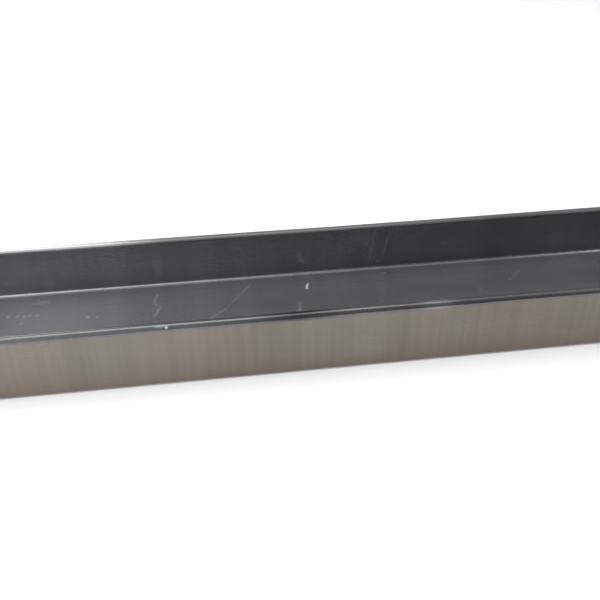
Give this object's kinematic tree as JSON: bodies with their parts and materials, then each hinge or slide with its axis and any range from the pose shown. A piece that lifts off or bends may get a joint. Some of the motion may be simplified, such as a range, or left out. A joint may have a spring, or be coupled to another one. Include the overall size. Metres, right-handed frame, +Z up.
{
  "type": "trough feeder",
  "caption": "Long open sheet-steel trough feeder with inward-rolled lips and riveted end plates, free-standing on its flat floor.",
  "frame": {"origin": "on the surface that the trough stands on, under the middle of its floor", "axes": "+X along the trough to the right as seen from its front, front wall on the -Y side, +Z up"},
  "size_m": [1.2, 0.2006, 0.076],
  "materials": {
    "trough_sheet": "dull mill finish with handling scratches",
    "end_sheet": "dull mill finish",
    "seal": "matte",
    "rivet": "satin"
  },
  "bodies": {
    "root": {"trough_body": "trough_sheet", "end_plate_left": "end_sheet", "end_seal_left": "seal", "end_plate_right": "end_sheet", "end_seal_right": "seal", "rivet_left_front_lower": "rivet", "rivet_left_front_upper": "rivet", "rivet_left_back_lower": "rivet", "rivet_left_back_upper": "rivet", "rivet_left_floor_1": "rivet", "rivet_left_floor_2": "rivet", "rivet_left_floor_3": "rivet", "rivet_left_floor_4": "rivet", "rivet_right_front_lower": "rivet", "rivet_right_front_upper": "rivet", "rivet_right_back_lower": "rivet", "rivet_right_back_upper": "rivet", "rivet_right_floor_1": "rivet", "rivet_right_floor_2": "rivet", "rivet_right_floor_3": "rivet", "rivet_right_floor_4": "rivet"}
  },
  "joints": []
}
